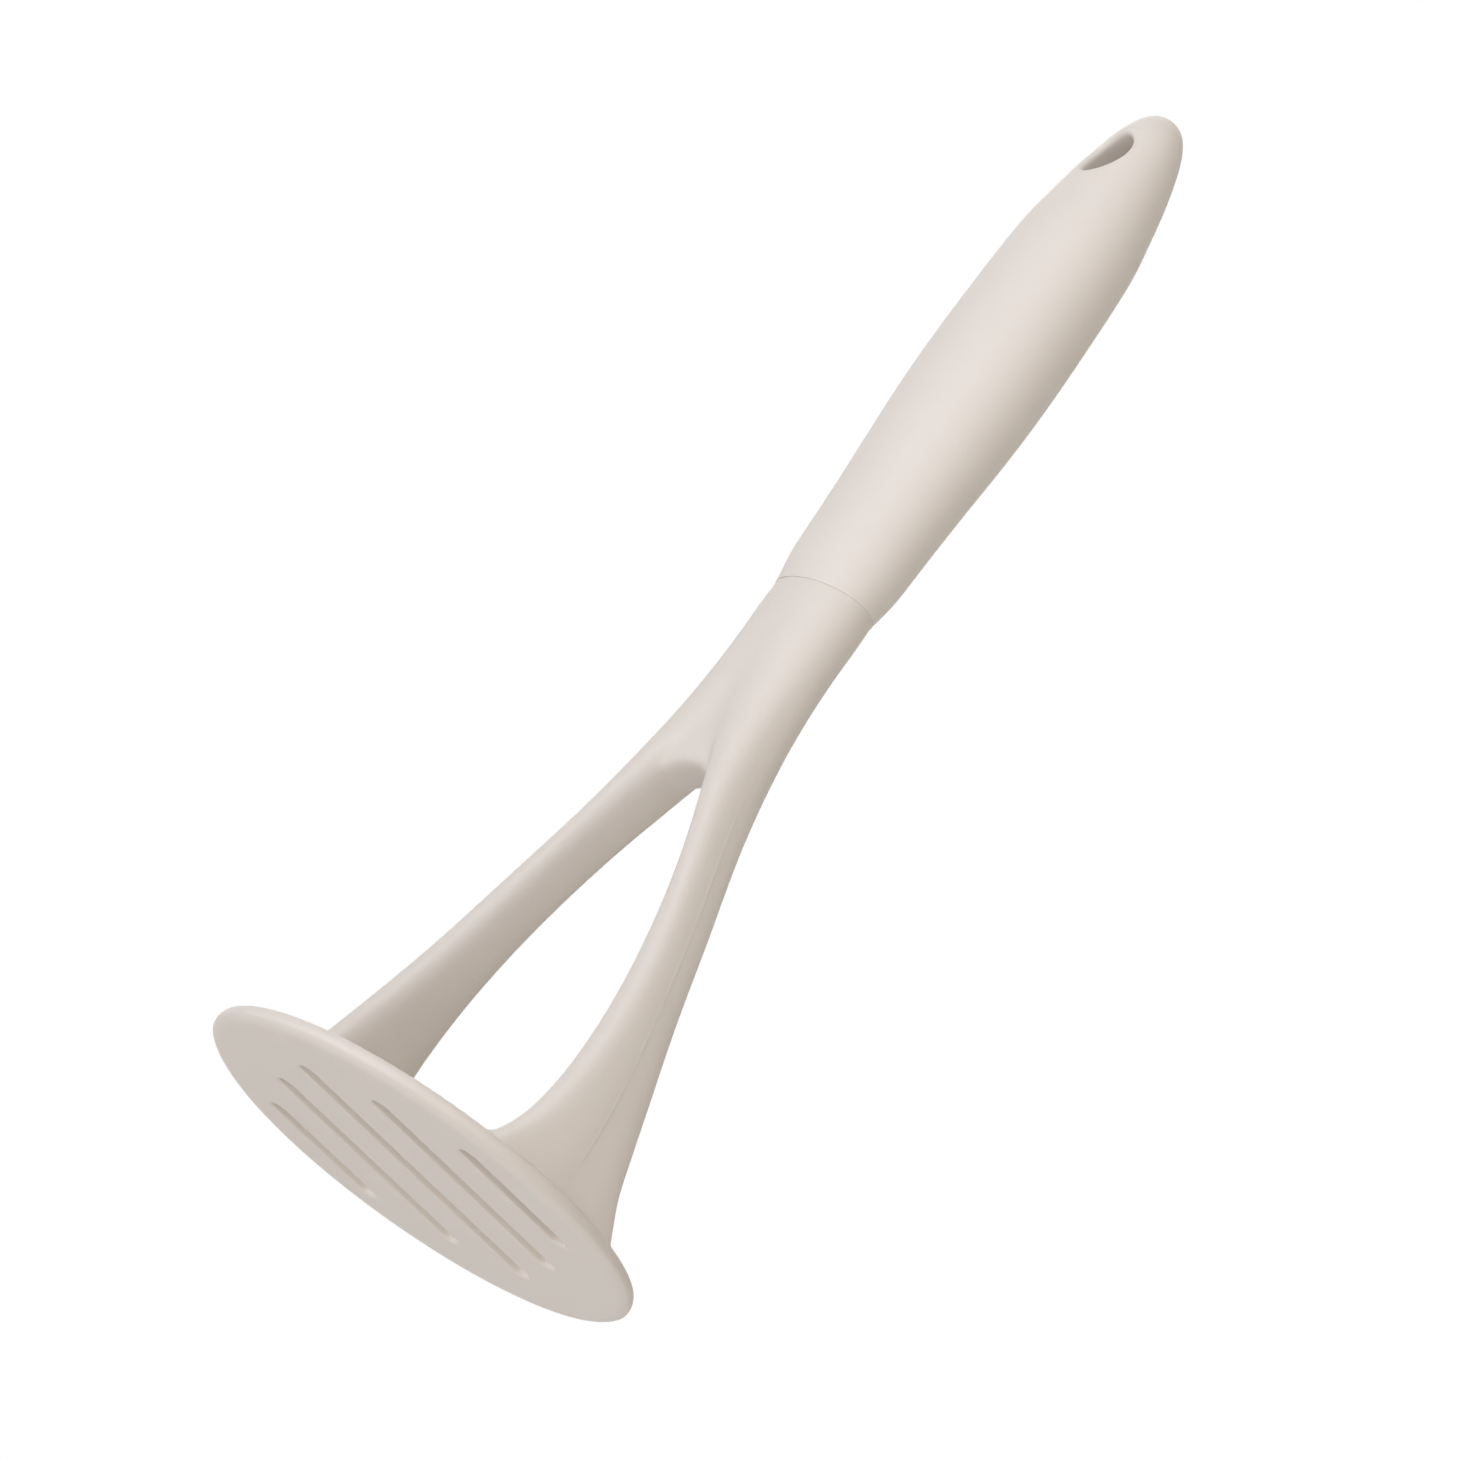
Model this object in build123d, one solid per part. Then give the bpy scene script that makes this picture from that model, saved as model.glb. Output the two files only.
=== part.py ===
from build123d import *
import math
import os

# Potato masher: a slotted round plate on a two-leg fork, an oval neck and a smooth hollow handle.
# The origin is the centre of the plate's flat underside and +Z runs up to the tip of the handle.
# The legs stand at -X and +X, and the slots and the hang hole run along Y. Sizes are in millimetres.

# Plate
plate_radius = 50.0
plate_thickness = 4.0
rim_share = 0.45              # rounding of the rim, of the plate's thickness
slot_width = 4.6
slot_edge_radius = 0.7
foot_land = 2.2               # solid strip between an outer slot and the foot of a leg
slot_chord_shares = [0.446, 0.59, 0.705, 0.59, 0.446]

# Fork and neck
seam_height = 147.0
seam_half_width = 14.25
seam_half_depth = 8.95
foot_setback = 2.3            # from the plate's rim to the outer face of a leg
foot_thickness = 8.0
foot_half_depth = 19.8
foot_squareness = 3.0
waist_height = 68.0
waist_outer = 31.5            # from the axis to the outer face of a leg
waist_thickness = 8.0
waist_half_depth = 6.1
waist_squareness = 2.6
neck_squareness = 2.0
crotch_height = 101.0
arch_half_width = 11.8
arch_rise = 7.0
arch_edge_radius = 3.6
web_half_width = 15.5
web_half_depth = 4.8
web_squareness = 2.8
web_tuck = 8.0                # how far the web ends below the seam

# Each row is height, outer face, bulge, depth and squareness on the way from the foot to the waist.
lower_leg_shares = [
    (0.0, 0.0, 0.0, 0.0, 0.0),
    (0.06, 0.0, 0.01, 0.19, 0.12),
    (0.15, 0.0, 0.05, 0.42, 0.3),
    (0.38, 0.135, 0.12, 0.73, 0.6),
    (0.67, 0.495, 0.08, 0.925, 0.9),
]
# Each row is height, outer face, thickness, depth and squareness on the way from waist to seam.
upper_leg_shares = [
    (0.0, 0.0, 0.0, 0.0, 0.0),
    (0.25, 0.495, 0.02, 0.05, 0.2),
    (0.4, 0.74, 0.135, 0.26, 0.4),
    (0.55, 0.89, 0.37, 0.45, 0.6),
    (0.7, 0.965, 0.59, 0.63, 0.8),
    (0.85, 0.995, 0.8, 0.82, 0.9),
    (1.0, 1.0, 1.0, 1.0, 1.0),
]
# Each row is height, half width and growth in depth on the way up the web.
web_shares = [
    (0.0, 1.0, 0.0),
    (0.25, 0.8, 0.1),
    (0.53, 0.6, 0.36),
    (0.8, 0.42, 0.7),
    (1.0, 0.3, 0.8),
]

# Silicone skins and nylon core
skin_thickness = 1.0
grip_thickness = 2.0
grip_step = 0.45              # how far the grip stands proud of the neck
seam_edge_radius = 0.25
tang_half_width = 6.0
tang_half_depth = 3.0
tang_length = 54.0
tang_edge_radius = 1.2
tang_clearance = 0.15

# Handle
tip_height = 281.2
crown_length = 71.2           # from where the grip is widest up to its tip
grip_half_width = 17.15
grip_half_depth = 12.9
hole_length = 13.0
hole_width = 9.6
hole_tip_gap = 10.4
hole_edge_radius = 1.2
core_wall = 2.2
end_wall = 2.5
rib_count = 7
rib_thickness = 1.6
boss_radius = 2.0
boss_clearance = 0.1
boss_post_wall = 1.6
boss_reach = 5.0              # how far a boss passes the middle plane
tang_boss_rise = 26.0         # above the seam
upper_boss_drop = 50.2        # below the tip

# Each row is height, width and depth on the way from the seam to the widest place.
lower_grip_shares = [(0.0, 0.0, 0.0), (0.286, 0.41, 0.4), (0.603, 0.735, 0.725)]
# Each row is height on the way to the tip, then width and depth as parts of the widest.
upper_grip_shares = [
    (0.0, 1.0, 1.0),
    (0.309, 0.956, 0.977),
    (0.52, 0.875, 0.915),
    (0.681, 0.735, 0.788),
    (0.815, 0.583, 0.642),
    (0.913, 0.439, 0.495),
    (0.969, 0.315, 0.364),
]

# Values that follow from the sizes above
rim_radius = rim_share * plate_thickness
foot_height = plate_thickness / 2
foot_outer = plate_radius - foot_setback
slot_half_count = (len(slot_chord_shares) - 1) / 2
slot_pitch = (foot_outer - foot_thickness - foot_land - slot_width / 2) / slot_half_count
grip_height = tip_height - crown_length
hole_centre = tip_height - hole_tip_gap - hole_length / 2
cavity_top = hole_centre - hole_length / 2 - grip_thickness - core_wall
overrun = plate_thickness
ring_points = 16


def between(low, high, share):
    return low + (high - low) * share


def squared_oval(height, half_width, half_depth, squareness, centre=0.0):
    """Closed curve in a level plane, an ellipse whose sides are flattened by its squareness."""
    points = []
    for index in range(ring_points):
        angle = 2 * math.pi * index / ring_points
        across, along = math.cos(angle), math.sin(angle)
        x = centre + half_width * math.copysign(abs(across) ** (2 / squareness), across)
        y = half_depth * math.copysign(abs(along) ** (2 / squareness), along)
        points.append((x, y, height))
    return Wire(Edge.make_spline([Vector(*point) for point in points], periodic=True))


def along_y(shape, height):
    """Solid that runs right through the tool along Y from a flat shape in X and Z."""
    reach = plate_radius
    return extrude(Plane.XZ.offset(-reach) * (Pos(0, height) * shape), 2 * reach)


def slots(growth=0.0):
    """The five mashing slots, as solids that pass both faces of the plate."""
    solids = []
    for index, share in enumerate(slot_chord_shares):
        x = (index - slot_half_count) * slot_pitch
        length = 2 * share * math.sqrt(plate_radius**2 - x**2)
        outline = SlotOverall(length + 2 * growth, slot_width + 2 * growth, rotation=90)
        below = Plane.XY.offset(-overrun)
        solids.append(extrude(below * (Pos(x, 0) * outline), plate_thickness + 2 * overrun))
    return solids


def plate(inset):
    """The slotted disc, with rounded rim and slot edges on the outer form only."""
    height = plate_thickness - 2 * inset
    disc = extrude(Plane.XY.offset(inset) * Circle(plate_radius - inset), height)
    disc = fillet(disc.edges(), rim_radius - inset)
    disc -= slots(growth=inset)
    if inset == 0:
        flat = [f for f in disc.faces() if f.geom_type == GeomType.PLANE]
        ends = [f for f in flat if abs(f.normal_at().Z) > 0.5]
        mouths = [e for f in ends for w in f.inner_wires() for e in w.edges()]
        disc = fillet(mouths, slot_edge_radius)
    return disc


def seam_edge(solid):
    """The curved edges around a solid's flat end at the seam between neck and grip."""
    ends = [f for f in solid.faces() if f.geom_type == GeomType.PLANE]
    ends = [f for f in ends if abs(f.center().Z - seam_height) < seam_edge_radius]
    edges = [e for f in ends for e in f.outer_wire().edges()]
    return [e for e in edges if e.geom_type != GeomType.LINE]


def leg_half(inset):
    """The half of fork and neck on the +X side, from inside the plate up to the seam."""
    rings = []
    for up, out, bulge, deep, square in lower_leg_shares:
        thickness = between(foot_thickness, waist_thickness, up) + bulge * waist_thickness
        half_width = thickness / 2 - inset
        outer = between(foot_outer, waist_outer, out) - inset
        rings.append(squared_oval(
            between(foot_height, waist_height, up), half_width,
            between(foot_half_depth, waist_half_depth, deep) - inset,
            between(foot_squareness, waist_squareness, square), outer - half_width))
    for up, out, thick, deep, square in upper_leg_shares:
        half_width = between(waist_thickness / 2, seam_half_width, thick) - inset
        outer = between(waist_outer, seam_half_width, out) - inset
        rings.append(squared_oval(
            between(waist_height, seam_height, up), half_width,
            between(waist_half_depth, seam_half_depth, deep) - inset,
            between(waist_squareness, neck_squareness, square), outer - half_width))
    half = split(Solid.make_loft(rings), Plane.YZ, keep=Keep.TOP)
    if inset == 0:
        half = fillet(seam_edge(half), seam_edge_radius)
    return half


def arch(inset):
    """The low round top of the gap, an oval drum whose ends flare to round off the web's edges."""
    _, _, growth = web_shares[1]
    depth = between(web_half_depth, seam_half_depth, growth)
    radius, flat = arch_half_width + inset, depth - arch_edge_radius
    flare = CenterArc((radius + arch_edge_radius, flat), arch_edge_radius, 90, 90)
    rim = Polyline(flare @ 0, (flare @ 0) + Vector(0, arch_edge_radius), (0, depth + arch_edge_radius),
                   (0, 0), (radius, 0), flare @ 1)
    drum = revolve(make_face(flare.edges() + rim.edges()), Axis.Y)
    drum += mirror(drum, Plane.XZ)
    return Pos(0, 0, crotch_height - arch_rise) * scale(drum, by=(1, 1, (arch_rise + inset) / radius))


def web(inset):
    """The filled corner between the legs, with its rounded arch over the gap."""
    bottom, top = crotch_height - arch_rise, seam_height - web_tuck
    rings = []
    for up, wide, deep in web_shares:
        rings.append(squared_oval(
            between(bottom, top, up), web_half_width * wide - inset,
            between(web_half_depth, seam_half_depth, deep) - inset, web_squareness))
    return Solid.make_loft(rings) - arch(inset)


def head_form(inset=0.0):
    """Outer shape of the head, or the shape of its core when it is inset by the skin."""
    half = leg_half(inset)
    fork = half + mirror(half, Plane.YZ) + web(inset)
    return plate(inset) + (fork - slots(growth=inset))


def oval(height, half_width, half_depth):
    """Ellipse in a level plane, in two arcs that meet at the handle's parting plane."""
    level = Plane.XY.offset(height)
    turns = ((0, 180), (180, 360))
    return Wire([Edge.make_ellipse(half_width, half_depth, plane=level, start_angle=low, end_angle=high)
                 for low, high in turns])


def grip_form(inset=0.0):
    """Shape of the handle from the seam to the tip, inset on all sides but at the seam."""
    low_width = seam_half_width + grip_step
    low_depth = seam_half_depth + grip_step
    rings = []
    for up, wide, deep in lower_grip_shares:
        rings.append(oval(
            between(seam_height, grip_height, up), between(low_width, grip_half_width, wide) - inset,
            between(low_depth, grip_half_depth, deep) - inset))
    for up, wide, deep in upper_grip_shares:
        rings.append(oval(
            between(grip_height, tip_height - inset, up), grip_half_width * wide - inset,
            grip_half_depth * deep - inset))
    return Solid.make_loft(rings + [Vertex(0, 0, tip_height - inset)])


def hang_hole(growth=0.0):
    outline = Ellipse(hole_width / 2 + growth, hole_length / 2 + growth)
    return along_y(outline, hole_centre)


def tang(growth=0.0):
    width, depth = 2 * (tang_half_width + growth), 2 * (tang_half_depth + growth)
    base = Plane.XY.offset(seam_height)
    return extrude(base * RectangleRounded(width, depth, tang_edge_radius), tang_length + growth)


def along_y_rod(radius, height, start, end):
    return extrude(Plane.XZ.offset(-start) * (Pos(0, height) * Circle(radius)), start - end)


def head_core(form):
    hole = along_y_rod(boss_radius + boss_clearance, seam_height + tang_boss_rise,
                       -2 * tang_half_depth, 2 * tang_half_depth)
    return form + (tang() - hole)


def grip_skin(inner):
    outer = grip_form()
    outer = fillet(seam_edge(outer), seam_edge_radius) - hang_hole()
    mouths = [e for e in outer.edges() if e.center().Z > cavity_top and abs(e.center().Y) > hole_width / 2]
    return fillet(mouths, hole_edge_radius) - inner


def cavity():
    """The hollow inside the handle core, cut into cells by its cross ribs."""
    hollow = grip_form(grip_thickness + core_wall)
    wide = 2 * grip_half_width
    low, high = seam_height + end_wall, cavity_top
    pitch = (high - low) / (rib_count + 1)
    cells = []
    for index in range(rib_count + 1):
        floor = low + index * pitch + (rib_thickness / 2 if index else 0)
        ceiling = low + (index + 1) * pitch - (rib_thickness / 2 if index < rib_count else 0)
        middle = Pos(0, 0, (floor + ceiling) / 2)
        cells.append(middle * Box(wide, wide, ceiling - floor))
    return [hollow & cell for cell in cells]


def handle_core(inner):
    """Both halves of the ribbed hollow core, with the bosses that lock the tang between them."""
    body = inner - cavity() - tang(tang_clearance)
    gap = tang_half_depth + tang_clearance
    socket_radius = boss_radius + boss_clearance
    post_radius = socket_radius + boss_post_wall
    front_pins, back_posts, sockets = Part(), Part(), Part()
    for height in (seam_height + tang_boss_rise, tip_height - upper_boss_drop):
        front_pins += along_y_rod(post_radius, height, -plate_radius, -gap)
        front_pins += along_y_rod(boss_radius, height, -plate_radius, boss_reach)
        back_posts += along_y_rod(post_radius, height, gap, plate_radius)
        sockets += along_y_rod(socket_radius, height, 0.0, boss_reach + boss_clearance)
    front = split(body, Plane.XZ, keep=Keep.TOP) + (inner & front_pins)
    back = split(body, Plane.XZ, keep=Keep.BOTTOM) + (inner & back_posts)
    return front, back - sockets


def main():
    os.makedirs("parts", exist_ok=True)
    core_form = head_form(skin_thickness)
    inner = grip_form(grip_thickness) - hang_hole(grip_thickness)
    front, back = handle_core(inner)
    parts = {
        "head_core": head_core(core_form),
        "head_skin": head_form() - core_form,
        "grip_skin": grip_skin(inner),
        "handle_core_front": front,
        "handle_core_back": back,
    }
    for name, solid in parts.items():
        export_step(solid, f"parts/{name}.step")


main()
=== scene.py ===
import math

import bmesh
import bpy
import numpy as np
from mathutils import Matrix, Vector
from mathutils.bvhtree import BVHTree


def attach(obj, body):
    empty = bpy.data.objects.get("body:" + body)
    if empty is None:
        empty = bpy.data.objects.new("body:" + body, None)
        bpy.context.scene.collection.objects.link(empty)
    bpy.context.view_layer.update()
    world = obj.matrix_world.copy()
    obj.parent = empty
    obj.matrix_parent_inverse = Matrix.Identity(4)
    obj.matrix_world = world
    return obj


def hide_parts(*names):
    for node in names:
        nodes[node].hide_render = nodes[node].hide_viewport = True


# Looks of the potato masher: a one-colour silicone tool in the air over a pale floor.
# Everything is in metres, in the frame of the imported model. The origin is the centre of the
# plate's underside, +Z runs up the handle, and the legs stand at -X and +X.

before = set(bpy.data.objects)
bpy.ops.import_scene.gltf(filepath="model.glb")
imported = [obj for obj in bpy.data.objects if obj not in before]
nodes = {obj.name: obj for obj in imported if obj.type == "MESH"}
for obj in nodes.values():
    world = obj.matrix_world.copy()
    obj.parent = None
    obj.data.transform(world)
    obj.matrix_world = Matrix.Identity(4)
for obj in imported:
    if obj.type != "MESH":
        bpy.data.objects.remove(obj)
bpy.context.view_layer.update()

MM = 0.001

# Camera, as the photograph was taken
CAMERA_TARGET = Vector((-2.1, 0.5, 113.9)) * MM
CAMERA_DISTANCE = 1259 * MM
CAMERA_AZIMUTH = 59.3
CAMERA_ELEVATION = -18.26
CAMERA_ROLL = 35.59
CAMERA_LENS = 152.5           # on a sensor 36 wide
CAMERA_SENSOR = 36.0

# Stage. The camera looks up at the plate, so the floor lies well below the tool.
FLOOR_HEIGHT = -1.4
FLOOR_SIZE = 60.0
FLOOR_GREY = 0.9
FLOOR_ROUGHNESS = 0.9
FLOOR_WHITE_SHARE = 0.8       # how much of plain white the camera sees in the floor
WORLD_STRENGTH = 0.172
LAMP_SIZE = 1.2
LAMP_DISTANCE = 1.5
WARM = (1.08, 1.0, 0.89)
PLAIN = (1.0, 1.0, 1.0)
COOL = (0.97, 1.0, 1.09)
LAMPS = [                     # name, sideways, upwards, towards the camera, watts, tint
    ("top_left", -0.7, 0.7, 0.5, 10.0, COOL),
    ("top", 0.0, 1.0, 0.35, 7.2, PLAIN),
    ("right", 1.0, 0.0, 0.35, 4.6, WARM),
    ("front", 0.0, 0.0, 1.0, 4.7, COOL),
    ("low_front", 0.0, -0.6, 1.0, 2.9, WARM),
    ("low_left", -0.7, -0.7, 0.5, 4.8, PLAIN),
    ("low_back", -0.3, -1.0, -0.2, 2.6, COOL),
    ("back", 0.3, 0.6, -1.0, 3.5, PLAIN),
]

# Colours
HEAD_COLOUR = (0.76, 0.70, 0.64)
GRIP_COLOUR = (0.78, 0.72, 0.66)
NYLON_COLOUR = (0.36, 0.33, 0.30)
HANDLE_COLOUR = (0.62, 0.58, 0.53)

# Silicone surface
SKIN_CLOUD_SIZE = 22 * MM
SKIN_CLOUD_SHARE = 0.015      # how much lighter and darker than its colour the clouds make it
SKIN_ROUGHNESS = (0.47, 0.57)
SKIN_ROUGHNESS_SIZE = 9 * MM
SKIN_IOR = 1.42
SKIN_GLOW = 0.12              # share of light that passes under the surface
SKIN_GLOW_RADII = (1.0, 0.7, 0.5)
SKIN_GLOW_DEPTH = 1.2 * MM
SKIN_GRAIN_SIZE = 0.35 * MM
SKIN_GRAIN_DETAIL = 4
SKIN_GRAIN_ROUGHNESS = 0.6
SKIN_GRAIN_RELIEF = 0.012 * MM
SKIN_SWELL_SIZE = 6 * MM
SKIN_SWELL_RELIEF = 0.02 * MM
CLOUD_DETAIL = 3

# Parting line down the outer face of each leg. A pair is where it starts to change and where it ends.
PARTING_SIDE = (0.1 * MM, 0.6 * MM)
PARTING_LOW = (6 * MM, 14 * MM)
PARTING_HIGH = (80 * MM, 108 * MM)
PARTING_OUTWARD = (0.0, 5 * MM)
PARTING_PATCH_SIZE = 14 * MM
PARTING_PATCH_NOISE = (0.35, 0.6)
PARTING_FAINTEST = 0.15
PARTING_RELIEF = 0.06 * MM

# Plastic surface of the cores
CORE_CLOUD_SIZE = 7 * MM
CORE_CLOUD_SHARE = 0.06
CORE_ROUGHNESS_SIZE = 2 * MM
CORE_ROUGHNESS_SPREAD = 0.06
CORE_GRAIN_SIZE = 0.25 * MM
CORE_GRAIN_DETAIL = 3
CORE_GRAIN_RELIEF = 0.02 * MM
NYLON_ROUGHNESS = 0.6
HANDLE_ROUGHNESS = 0.55

# Skins
VOXEL = 0.4 * MM
WELD_DISTANCE = 0.001 * MM
LEVEL_TOLERANCE = 0.005 * MM
RELAX_STEP = 0.5

# Seam between neck and grip
SEAM_HEIGHT = 147 * MM
SEAM_RADIUS = 0.06 * MM       # rounded edge of neck and grip where they meet
SEAM_STEPS = 4                # steps in that edge's quarter turn
SEAM_CUT = 0.6 * MM           # how much of each mesh is replaced next to the seam
SEAM_INSET = 1.5 * MM
GRIP_TUCK = 0.38 * MM         # how far the grip's lower edge is drawn in
GRIP_TUCK_REACH = 9 * MM
TIP_DROP = 1.5 * MM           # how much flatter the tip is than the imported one
TIP_REACH = 11 * MM

# Blends of the head. A pair is where a blend is still nothing and where it is full.
FORK_SIDE = (14.5 * MM, 9 * MM)
CROTCH_LOW = (92 * MM, 99 * MM)
CROTCH_HIGH = (132 * MM, 118 * MM)
CROTCH_ROUNDS = 25
VALLEY_LOW = (103 * MM, 110 * MM)
VALLEY_HIGH = (142 * MM, 126 * MM)
VALLEY_ROUNDS = 160
FOOT_LOW = (3.8 * MM, 4 * MM)
FOOT_HIGH = (20 * MM, 5 * MM)
FOOT_SIDE = (37.8 * MM, 39 * MM)
FOOT_OUT = (48.4 * MM, 47 * MM)
FOOT_ROUNDS = 110
RIM_OUT = (42 * MM, 46 * MM)
RIM_HIGH = (1.5 * MM, 0.5 * MM)
RIM_ROUNDS = 80


def camera_axes():
    """Right, up and back of the camera, from its azimuth, elevation and roll."""
    angles = (CAMERA_AZIMUTH, CAMERA_ELEVATION, CAMERA_ROLL)
    azimuth, elevation, roll = (math.radians(angle) for angle in angles)
    back = Vector((
        math.sin(azimuth) * math.cos(elevation),
        -math.cos(azimuth) * math.cos(elevation),
        math.sin(elevation)))
    level = Vector((0, 0, 1)).cross(back).normalized()
    turn = Matrix.Rotation(roll, 3, back)
    return turn @ level, turn @ back.cross(level), back


RIGHT, UP, BACK = camera_axes()


def set_colours():
    bpy.context.scene.view_settings.view_transform = "Standard"


def add_camera():
    data = bpy.data.cameras.new("camera")
    data.lens = CAMERA_LENS
    data.sensor_width = CAMERA_SENSOR
    camera = bpy.data.objects.new("camera", data)
    bpy.context.scene.collection.objects.link(camera)
    turn = Matrix((RIGHT, UP, BACK)).transposed()
    camera.matrix_world = Matrix.Translation(CAMERA_TARGET + BACK * CAMERA_DISTANCE) @ turn.to_4x4()
    bpy.context.scene.camera = camera


def add_lamp(name, side, above, near, power, tint):
    """Square soft lamp that faces the masher, placed by the camera's own directions."""
    data = bpy.data.lights.new(name, "AREA")
    data.shape = "SQUARE"
    data.size = LAMP_SIZE
    data.energy = power
    data.color = tint
    lamp = bpy.data.objects.new(name, data)
    bpy.context.scene.collection.objects.link(lamp)
    place = (RIGHT * side + UP * above + BACK * near).normalized() * LAMP_DISTANCE
    lamp.location = CAMERA_TARGET + place
    lamp.rotation_mode = "QUATERNION"
    lamp.rotation_quaternion = place.to_track_quat("Z", "Y")
    lamp.visible_camera = False


def seen_directly(tree):
    """1 for what the camera sees, also in reflections and through glass, and 0 for other rays."""
    path = tree.nodes.new("ShaderNodeLightPath")
    seen = path.outputs["Is Camera Ray"]
    for ray in ("Is Glossy Ray", "Is Transmission Ray"):
        both = tree.nodes.new("ShaderNodeMath")
        both.operation = "MAXIMUM"
        tree.links.new(seen, both.inputs[0])
        tree.links.new(path.outputs[ray], both.inputs[1])
        seen = both.outputs[0]
    return seen


def set_world(strength, tint):
    """Even soft light all round, which the camera and reflections see as white."""
    world = bpy.data.worlds.new("studio")
    world.use_nodes = True
    bpy.context.scene.world = world
    tree = world.node_tree
    tree.nodes.clear()
    light = tree.nodes.new("ShaderNodeBackground")
    light.inputs["Strength"].default_value = strength
    white = tree.nodes.new("ShaderNodeBackground")
    mix = tree.nodes.new("ShaderNodeMixShader")
    out = tree.nodes.new("ShaderNodeOutputWorld")
    light.inputs["Color"].default_value = (*tint, 1)
    white.inputs["Color"].default_value = (*PLAIN, 1)
    tree.links.new(seen_directly(tree), mix.inputs["Fac"])
    tree.links.new(light.outputs[0], mix.inputs[1])
    tree.links.new(white.outputs[0], mix.inputs[2])
    tree.links.new(mix.outputs[0], out.inputs["Surface"])


def add_floor():
    mesh = bpy.data.meshes.new("floor")
    half = FLOOR_SIZE / 2
    corners = [(-half, -half, FLOOR_HEIGHT), (half, -half, FLOOR_HEIGHT),
               (half, half, FLOOR_HEIGHT), (-half, half, FLOOR_HEIGHT)]
    mesh.from_pydata(corners, [], [(0, 1, 2, 3)])
    floor = bpy.data.objects.new("floor", mesh)
    bpy.context.scene.collection.objects.link(floor)
    material = bpy.data.materials.new("floor_white")
    material.use_nodes = True
    tree = material.node_tree
    shader = tree.nodes["Principled BSDF"]
    shader.inputs["Base Color"].default_value = (FLOOR_GREY, FLOOR_GREY, FLOOR_GREY, 1)
    shader.inputs["Roughness"].default_value = FLOOR_ROUGHNESS
    white = tree.nodes.new("ShaderNodeEmission")
    share = tree.nodes.new("ShaderNodeMath")
    share.operation = "MULTIPLY"
    share.inputs[1].default_value = FLOOR_WHITE_SHARE
    mix = tree.nodes.new("ShaderNodeMixShader")
    tree.links.new(seen_directly(tree), share.inputs[0])
    tree.links.new(share.outputs[0], mix.inputs["Fac"])
    tree.links.new(shader.outputs[0], mix.inputs[1])
    tree.links.new(white.outputs[0], mix.inputs[2])
    tree.links.new(mix.outputs[0], tree.nodes["Material Output"].inputs["Surface"])
    mesh.materials.append(material)


class Nodes:
    """Short ways to make and join the shader nodes of one material."""

    def __init__(self, name):
        self.material = bpy.data.materials.new(name)
        self.material.use_nodes = True
        self.tree = self.material.node_tree
        self.shader = self.tree.nodes["Principled BSDF"]
        where = self.tree.nodes.new("ShaderNodeTexCoord")
        self.place = where.outputs["Object"]
        self.facing = where.outputs["Normal"]

    def join(self, source, socket):
        if isinstance(source, bpy.types.NodeSocket):
            self.tree.links.new(source, socket)
        else:
            socket.default_value = source

    def split(self, vector):
        node = self.tree.nodes.new("ShaderNodeSeparateXYZ")
        self.join(vector, node.inputs[0])
        return node.outputs

    def noise(self, size, detail=2.0, rough=0.5):
        """Noise from 0 to 1 whose blobs are about the given size in metres."""
        node = self.tree.nodes.new("ShaderNodeTexNoise")
        self.join(self.place, node.inputs["Vector"])
        node.inputs["Scale"].default_value = 1 / size
        node.inputs["Detail"].default_value = detail
        node.inputs["Roughness"].default_value = rough
        return node.outputs["Fac"]

    def spread(self, value, low, high, start=0.0, end=1.0):
        """The value taken from between start and end to between low and high."""
        node = self.tree.nodes.new("ShaderNodeMapRange")
        node.interpolation_type = "SMOOTHSTEP"
        for source, name in ((value, "Value"), (start, "From Min"), (end, "From Max"),
                             (low, "To Min"), (high, "To Max")):
            self.join(source, node.inputs[name])
        return node.outputs["Result"]

    def maths(self, operation, *values):
        node = self.tree.nodes.new("ShaderNodeMath")
        node.operation = operation
        for index, value in enumerate(values):
            self.join(value, node.inputs[index])
        return node.outputs[0]

    def tint(self, share, low, high):
        """Colour between low and high."""
        node = self.tree.nodes.new("ShaderNodeMix")
        node.data_type = "RGBA"
        factor, _, _, _, _, _, one, two = node.inputs[:8]
        self.join(share, factor)
        self.join((*low, 1), one)
        self.join((*high, 1), two)
        return node.outputs[2]

    def bump(self, height, distance, normal=None):
        node = self.tree.nodes.new("ShaderNodeBump")
        self.join(height, node.inputs["Height"])
        node.inputs["Distance"].default_value = distance
        if normal:
            self.join(normal, node.inputs["Normal"])
        return node.outputs["Normal"]


def shade(colour, factor):
    return tuple(channel * factor for channel in colour)


def cloudy(made, colour, size, share):
    """Colour that is lighter and darker by a share, in clouds of the given size."""
    cloud = made.noise(size, detail=CLOUD_DETAIL)
    return made.tint(cloud, shade(colour, 1 - share), shade(colour, 1 + share))


def parting_line(made):
    """1 on the broken line that the mould leaves down the outer face of each leg, and 0 off it."""
    x, y, z = made.split(made.place)
    facing, _, _ = made.split(made.facing)
    line = made.spread(made.maths("ABSOLUTE", y), 1.0, 0.0, *PARTING_SIDE)
    shares = [
        made.spread(made.noise(PARTING_PATCH_SIZE), PARTING_FAINTEST, 1.0, *PARTING_PATCH_NOISE),
        made.spread(z, 0.0, 1.0, *PARTING_LOW),
        made.spread(z, 1.0, 0.0, *PARTING_HIGH),
        made.spread(made.maths("MULTIPLY", x, facing), 0.0, 1.0, *PARTING_OUTWARD),
    ]
    for share in shares:
        line = made.maths("MULTIPLY", line, share)
    return line


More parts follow.
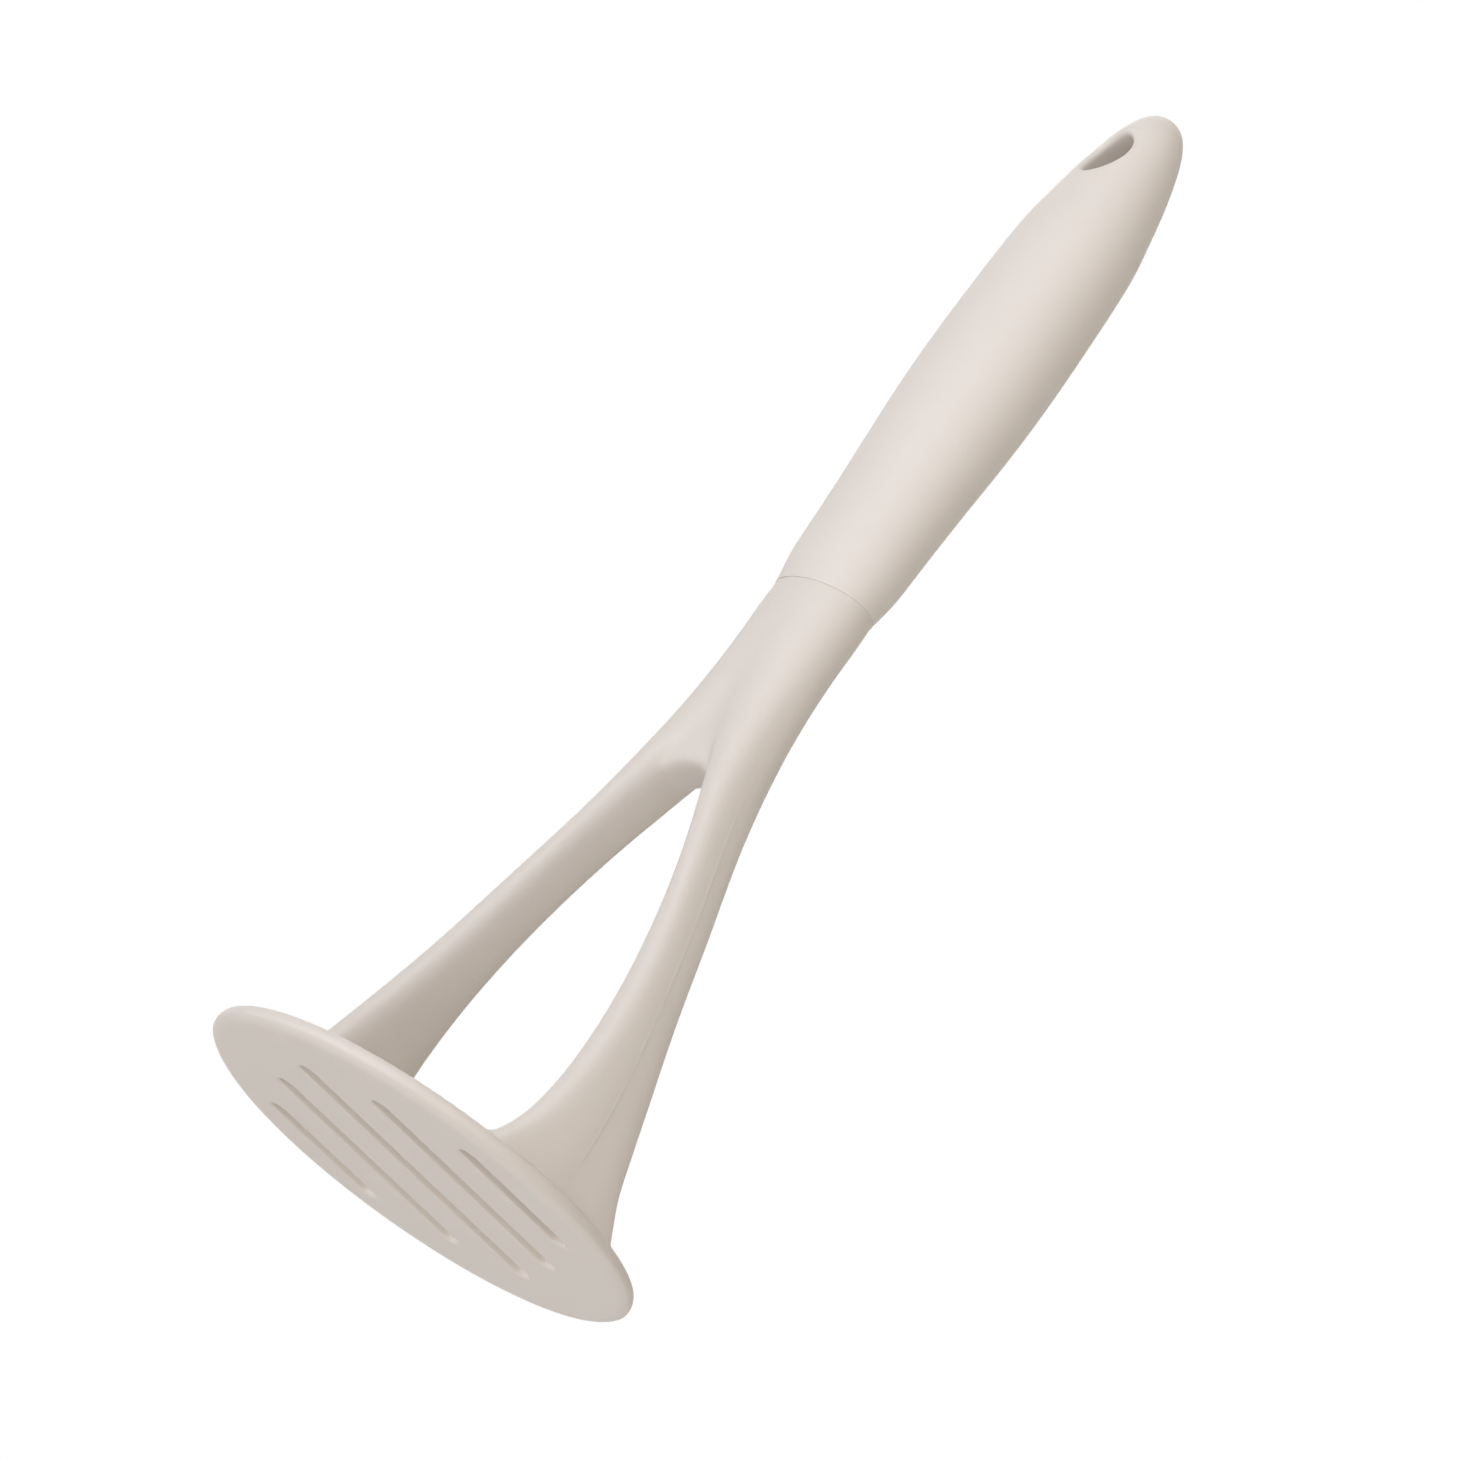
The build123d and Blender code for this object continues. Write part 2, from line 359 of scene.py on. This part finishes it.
def silicone(name, colour, parting=False):
    """Matt soft-touch silicone: eggshell grain, faint cloudiness, and a mould's parting line."""
    made = Nodes(name)
    inputs = made.shader.inputs
    made.join(cloudy(made, colour, SKIN_CLOUD_SIZE, SKIN_CLOUD_SHARE), inputs["Base Color"])
    made.join(made.spread(made.noise(SKIN_ROUGHNESS_SIZE), *SKIN_ROUGHNESS), inputs["Roughness"])
    inputs["IOR"].default_value = SKIN_IOR
    inputs["Subsurface Weight"].default_value = SKIN_GLOW
    inputs["Subsurface Radius"].default_value = SKIN_GLOW_RADII
    inputs["Subsurface Scale"].default_value = SKIN_GLOW_DEPTH
    grain = made.noise(SKIN_GRAIN_SIZE, SKIN_GRAIN_DETAIL, SKIN_GRAIN_ROUGHNESS)
    normal = made.bump(grain, SKIN_GRAIN_RELIEF)
    normal = made.bump(made.noise(SKIN_SWELL_SIZE), SKIN_SWELL_RELIEF, normal)
    if parting:
        normal = made.bump(parting_line(made), PARTING_RELIEF, normal)
    made.join(normal, inputs["Normal"])
    return made.material


def plastic(name, colour, roughness):
    """Moulded plastic of the hidden cores: slightly cloudy, with a fine spark-eroded grain."""
    made = Nodes(name)
    inputs = made.shader.inputs
    made.join(cloudy(made, colour, CORE_CLOUD_SIZE, CORE_CLOUD_SHARE), inputs["Base Color"])
    patches = made.noise(CORE_ROUGHNESS_SIZE)
    low, high = roughness - CORE_ROUGHNESS_SPREAD, roughness + CORE_ROUGHNESS_SPREAD
    made.join(made.spread(patches, low, high), inputs["Roughness"])
    grain = made.noise(CORE_GRAIN_SIZE, detail=CORE_GRAIN_DETAIL)
    made.join(made.bump(grain, CORE_GRAIN_RELIEF), inputs["Normal"])
    return made.material


def dress(node, material):
    mesh = nodes[node].data
    mesh.materials.clear()
    mesh.materials.append(material)


def outer_shell(node):
    """A node's outer surface as a closed mesh, without the side that faces its core."""
    shell = bmesh.new()
    shell.from_mesh(nodes[node].data)
    bmesh.ops.remove_doubles(shell, verts=shell.verts, dist=WELD_DISTANCE)
    ends = [f for f in shell.faces
            if all(abs(v.co.z - SEAM_HEIGHT) < LEVEL_TOLERANCE for v in f.verts)]
    bmesh.ops.delete(shell, geom=ends, context="FACES_ONLY")
    found = {max(shell.verts, key=lambda v: abs(v.co.x))}
    edge = list(found)
    while edge:
        near = {e.other_vert(v) for v in edge for e in v.link_edges} - found
        found |= near
        edge = list(near)
    bmesh.ops.delete(shell, geom=[v for v in shell.verts if v not in found], context="VERTS")
    bmesh.ops.holes_fill(shell, edges=[e for e in shell.edges if e.is_boundary], sides=0)
    bmesh.ops.recalc_face_normals(shell, faces=shell.faces)
    return shell


def even_mesh(name, shell):
    """Even quads over a closed shell, with every point put back on the shell itself."""
    rough = bpy.data.meshes.new(name)
    shell.to_mesh(rough)
    holder = bpy.data.objects.new(name, rough)
    bpy.context.scene.collection.objects.link(holder)
    grid = holder.modifiers.new("grid", "REMESH")
    grid.mode = "VOXEL"
    grid.voxel_size = VOXEL
    seen = holder.evaluated_get(bpy.context.evaluated_depsgraph_get())
    mesh = bpy.data.meshes.new_from_object(seen)
    bpy.data.objects.remove(holder)
    bpy.data.meshes.remove(rough)
    surface = BVHTree.FromBMesh(shell)
    for vertex in mesh.vertices:
        vertex.co = surface.find_nearest(vertex.co)[0]
    return mesh


def points_of(mesh):
    points = np.empty(3 * len(mesh.vertices))
    mesh.vertices.foreach_get("co", points)
    return points.reshape(-1, 3)


def ramp(values, start, end):
    """0 at start and 1 at end, smooth between them and flat outside."""
    share = np.clip((values - start) / (end - start), 0, 1)
    return share * share * (3 - 2 * share)


def relax(mesh, weights, rounds):
    """Draws each point towards the middle of its neighbours, as far as its weight says."""
    points = points_of(mesh)
    ends = np.empty(2 * len(mesh.edges), dtype=np.int32)
    mesh.edges.foreach_get("vertices", ends)
    one, two = ends.reshape(-1, 2).T
    count = np.bincount(ends, minlength=len(points))[:, None]
    size = len(points)
    for _ in range(rounds):
        total = np.stack([
            np.bincount(one, points[two, axis], size) + np.bincount(two, points[one, axis], size)
            for axis in range(3)], axis=1)
        points += RELAX_STEP * weights[:, None] * (total / count - points)
    mesh.vertices.foreach_set("co", points.ravel())


def round_end(mesh, side):
    """Cuts a mesh level at the seam and closes it with a crisp edge; side is 1 where that end faces up."""
    shape = bmesh.new()
    shape.from_mesh(mesh)
    cut = (0, 0, SEAM_HEIGHT - side * SEAM_CUT)
    bmesh.ops.bisect_plane(shape, geom=shape.verts[:] + shape.edges[:] + shape.faces[:],
                           plane_co=cut, plane_no=(0, 0, side), clear_outer=True)
    bmesh.ops.remove_doubles(shape, verts=[v for v in shape.verts if v.is_boundary], dist=VOXEL / 4)
    rim = [e for e in shape.edges if e.is_boundary]
    turns = [math.pi / 2 * step / SEAM_STEPS for step in range(SEAM_STEPS + 1)]
    rings = [(SEAM_RADIUS * (1 - math.cos(a)), SEAM_RADIUS * (1 - math.sin(a))) for a in turns]
    rings.append((SEAM_INSET, 0.0))
    passed = 0.0
    for inset, short in rings:
        made = bmesh.ops.extrude_edge_only(shape, edges=rim)["geom"]
        rim = [g for g in made if isinstance(g, bmesh.types.BMEdge)]
        for vertex in {v for e in rim for v in e.verts}:
            out = Vector((vertex.co.x, vertex.co.y))
            out *= 1 - (inset - passed) / out.length
            vertex.co = (out.x, out.y, SEAM_HEIGHT - side * short)
        passed = inset
    bmesh.ops.edgeloop_fill(shape, edges=rim)
    bmesh.ops.recalc_face_normals(shape, faces=shape.faces)
    shape.to_mesh(mesh)
    shape.free()


def add_piece(name, mesh, node, material):
    mesh.name = name
    mesh.materials.clear()
    mesh.materials.append(material)
    mesh.shade_smooth()
    piece = bpy.data.objects.new(name, mesh)
    bpy.context.scene.collection.objects.link(piece)
    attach(piece, "root")
    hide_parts(node)


def head():
    """Plate, fork and neck as one skin, its legs blended into the web and into the plate."""
    shell = outer_shell("head_skin")
    mesh = even_mesh("head_overmould", shell)
    shell.free()
    across, along, height = points_of(mesh).T
    across = np.abs(across)
    out = np.hypot(across, along)
    crotch = ramp(height, *CROTCH_LOW) * ramp(height, *CROTCH_HIGH) * ramp(across, *FORK_SIDE)
    relax(mesh, crotch, CROTCH_ROUNDS)
    valley = ramp(height, *VALLEY_LOW) * ramp(height, *VALLEY_HIGH) * ramp(across, *FORK_SIDE)
    relax(mesh, valley, VALLEY_ROUNDS)
    foot = ramp(height, *FOOT_LOW) * ramp(height, *FOOT_HIGH)
    foot *= ramp(across, *FOOT_SIDE) * ramp(out, *FOOT_OUT)
    relax(mesh, foot, FOOT_ROUNDS)
    relax(mesh, ramp(out, *RIM_OUT) * ramp(height, *RIM_HIGH), RIM_ROUNDS)
    round_end(mesh, 1)
    return mesh


def grip():
    """The handle skin with its hang hole, drawn in a hair at the neck and flatter at the tip."""
    shell = outer_shell("grip_skin")
    mesh = even_mesh("grip_overmould", shell)
    shell.free()
    points = points_of(mesh)
    across, along, height = points.T
    out = np.maximum(np.hypot(across, along), MM)
    tuck = GRIP_TUCK * ramp(height, SEAM_HEIGHT + GRIP_TUCK_REACH, SEAM_HEIGHT)
    points[:, :2] *= 1 - (tuck / out)[:, None]
    top = height.max()
    points[:, 2] -= TIP_DROP * ramp(height, top - TIP_REACH, top)
    mesh.vertices.foreach_set("co", points.ravel())
    round_end(mesh, -1)
    return mesh


set_colours()
add_camera()
set_world(WORLD_STRENGTH, WARM)
for lamp in LAMPS:
    add_lamp(*lamp)
add_floor()
head_silicone = silicone("head_silicone", HEAD_COLOUR, parting=True)
grip_silicone = silicone("grip_silicone", GRIP_COLOUR)
add_piece("head_overmould", head(), "head_skin", head_silicone)
add_piece("grip_overmould", grip(), "grip_skin", grip_silicone)
dress("head_core", plastic("nylon_core", NYLON_COLOUR, NYLON_ROUGHNESS))
handle_plastic = plastic("handle_plastic", HANDLE_COLOUR, HANDLE_ROUGHNESS)
dress("handle_core_front", handle_plastic)
dress("handle_core_back", handle_plastic)
